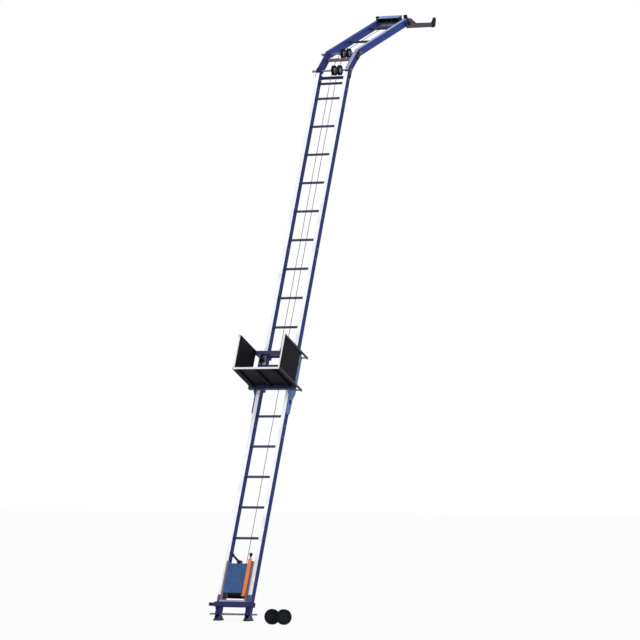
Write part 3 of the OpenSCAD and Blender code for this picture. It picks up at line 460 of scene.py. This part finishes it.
def dome(place, x, n, s, turn, radius=0.006, rise=0.45):
    """Domed screw head that stands on a face; turn takes local up to the face's outward side."""
    head = bmesh.new()
    bmesh.ops.create_uvsphere(head, u_segments=16, v_segments=8, radius=radius)
    at = place @ Matrix.Translation((x, n, s)) @ turn @ Matrix.Diagonal((1, 1, rise, 1))
    bmesh.ops.transform(head, matrix=at, verts=head.verts)
    return head


# Rope, in one piece for each body that carries it
winch_run = tube("rope_winch_strand", straight(LADDER, WINCH_X, DRUM_S + LEAD_LEN, KNEE_S))
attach(winch_run, "ladder")
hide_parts("rope_winch_run")
lead = tube("rope_lead_strand", straight(LADDER, WINCH_X, DRUM_S + 2 * ROPE_R, DRUM_S + LEAD_LEN, 6))
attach(lead, "ladder")
haul_points = straight(LADDER, HAUL_X, KNEE_S, CARRIAGE_S + SOCKET_TOP, 80)
haul = tube("rope_haul_strand", haul_points)
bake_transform(haul)
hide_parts("rope_moving_runs")

TURN_STEPS = 48
wind_points = [LADDER @ Vector((WINCH_X, ROPE_N, DRUM_S + 2 * ROPE_R))]
for i in range(WINDING_TURNS * TURN_STEPS + 1):
    x = WINCH_X - WINDING_PITCH * i / TURN_STEPS
    turn = math.pi + 2 * math.pi * i / TURN_STEPS
    wind_points.append(LADDER @ Vector((
        x, DRUM_N + WINDING_R * math.cos(turn), DRUM_S + WINDING_R * math.sin(turn))))
winding = tube("rope_on_drum", wind_points)
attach(winding, "drum")
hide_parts("drum_winding")

for x, side in ((HAUL_X, "haul"), (WINCH_X, "winch")):
    link_run = tube(f"rope_link_{side}", straight(LINK, x, 0, LINK_LEN, 8))
    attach(link_run, "link")
    low_points = round_hinge(LINK, x, LOWER_BEND)
    low = tube(f"rope_low_bend_{side}", low_points)
    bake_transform(low)
    high_points = round_hinge(ARM, x, UPPER_BEND)
    high = tube(f"rope_high_bend_{side}", high_points)
    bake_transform(high)
    if side == "haul":
        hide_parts("rope_link_runs")
        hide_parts("rope_bend_lower")
        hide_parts("rope_bend_upper")

arm_points = straight(ARM, HAUL_X, 0, SHEAVE_L)
SHEAVE_STEPS = 24
for i in range(1, SHEAVE_STEPS):
    turn = math.pi * (1 - i / SHEAVE_STEPS)
    arm_points.append(ARM @ Vector((
        SHEAVE_R + SHEAVE_R * math.cos(turn), ROPE_N, SHEAVE_L + SHEAVE_R * math.sin(turn))))
arm_points += straight(ARM, WINCH_X, SHEAVE_L, 0)
arm_run = tube("rope_arm_strand", arm_points)
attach(arm_run, "arm")
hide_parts("rope_arm_runs")

# Weld beads where the rungs meet the rails
BEAD = 0.0022
rung_welds = [bead(LADDER, side * (RAIL_INNER - BEAD), 0, RUNG_START + i * RUNG_PITCH, RUNG_R, BEAD)
              for i in RUNG_RANGE for side in (-1, 1)]
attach(joined("rung_welds", rung_welds, "rung"), "ladder")

# Screw heads on the winch cover and along the tray's arms
COVER_SCREW_X = 0.108
COVER_FRONT = -0.075
COVER_SCREW_S = (0.215, 0.355, 0.495)
TO_FRONT = Matrix.Rotation(math.pi / 2, 4, "X")
cover_screws = [dome(LADDER, side * COVER_SCREW_X, COVER_FRONT, s, TO_FRONT)
                for side in (-1, 1) for s in COVER_SCREW_S]
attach(joined("cover_screws", cover_screws, "cover"), "ladder")
TRAY_ARM_X = 0.265
TRAY_SCREW_N = (-0.47, -0.36, -0.25, -0.14)
TRAY_ARM_HEIGHTS = (0.0125, 0.3735)
TO_SIDE = {side: Matrix.Rotation(side * math.pi / 2, 4, "Y") for side in (-1, 1)}
tray_screws = [dome(LADDER, side * TRAY_ARM_X, n, CARRIAGE_S + height, TO_SIDE[side])
               for side in (-1, 1) for height in TRAY_ARM_HEIGHTS for n in TRAY_SCREW_N]
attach(joined("tray_screws", tray_screws, "black"), "carriage")

# Floor, white where the camera looks and soft grey for light that bounces
ground = Shader("pale_floor", 0.9)
ground.colour(ground.ramp(ground.noise(2), (0.80, 0.80, 0.81, 1), (0.86, 0.86, 0.87, 1)))
glow = ground.nodes.new("ShaderNodeEmission")
glow.inputs["Color"].default_value = (1, 1, 1, 1)
path = ground.nodes.new("ShaderNodeLightPath")
SEEN_GLOW = 0.86
share = ground.number("MULTIPLY", path.outputs["Is Camera Ray"], SEEN_GLOW)
blend = ground.nodes.new("ShaderNodeMixShader")
ground.links.new(share, blend.inputs["Fac"])
ground.links.new(ground.surface.outputs["BSDF"], blend.inputs[1])
ground.links.new(glow.outputs["Emission"], blend.inputs[2])
ground.links.new(blend.outputs["Shader"], ground.nodes["Material Output"].inputs["Surface"])
floor_mesh = bpy.data.meshes.new("floor")
REACH = 60
corners = [(-REACH, -REACH, 0), (REACH, -REACH, 0), (REACH, REACH, 0), (-REACH, REACH, 0)]
floor_mesh.from_pydata(corners, [], [(0, 1, 2, 3)])
floor_mesh.materials.append(ground.material)
floor = bpy.data.objects.new("floor", floor_mesh)
bpy.context.scene.collection.objects.link(floor)

# World: white to the camera, soft pale light on the hoist
world = bpy.data.worlds.new("studio")
bpy.context.scene.world = world
world.use_nodes = True
sky = world.node_tree.nodes
links = world.node_tree.links
light = sky["Background"]
light.inputs["Color"].default_value = (0.93, 0.95, 1.0, 1)
light.inputs["Strength"].default_value = 0.7
seen = sky.new("ShaderNodeBackground")
seen.inputs["Color"].default_value = (1, 1, 1, 1)
seen.inputs["Strength"].default_value = 1.0
looking = sky.new("ShaderNodeLightPath")
choose = sky.new("ShaderNodeMixShader")
links.new(looking.outputs["Is Camera Ray"], choose.inputs["Fac"])
links.new(light.outputs["Background"], choose.inputs[1])
links.new(seen.outputs["Background"], choose.inputs[2])
links.new(choose.outputs["Shader"], sky["World Output"].inputs["Surface"])

# Soft key light from above on the right, weaker fill from the front left
LAMPS = (
    ("key", 1.1, 20, (-0.50, 0.30, -0.81)),
    ("fill", 0.4, 40, (0.60, 0.60, -0.53)),
)
for name, energy, angle, shines in LAMPS:
    lamp = bpy.data.lights.new(name, "SUN")
    lamp.energy = energy
    lamp.angle = math.radians(angle)
    holder = bpy.data.objects.new(name, lamp)
    holder.rotation_euler = Vector(shines).to_track_quat("-Z", "Y").to_euler()
    bpy.context.scene.collection.objects.link(holder)

# Camera fitted to the photograph, in metres and millimetres
CAMERA_AT = (15.8848, -32.3516, 1.660)
CAMERA_LOOKS = Vector((-0.41887, 0.90729, 0.03697))
LENS_MM = 203.35
SENSOR_MM = 36
lens = bpy.data.cameras.new("camera")
lens.lens = LENS_MM
lens.sensor_width = SENSOR_MM
lens.clip_end = 200
camera = bpy.data.objects.new("camera", lens)
camera.location = CAMERA_AT
camera.rotation_euler = CAMERA_LOOKS.to_track_quat("-Z", "Y").to_euler()
bpy.context.scene.collection.objects.link(camera)
bpy.context.scene.camera = camera
bpy.context.scene.view_settings.view_transform = "Standard"
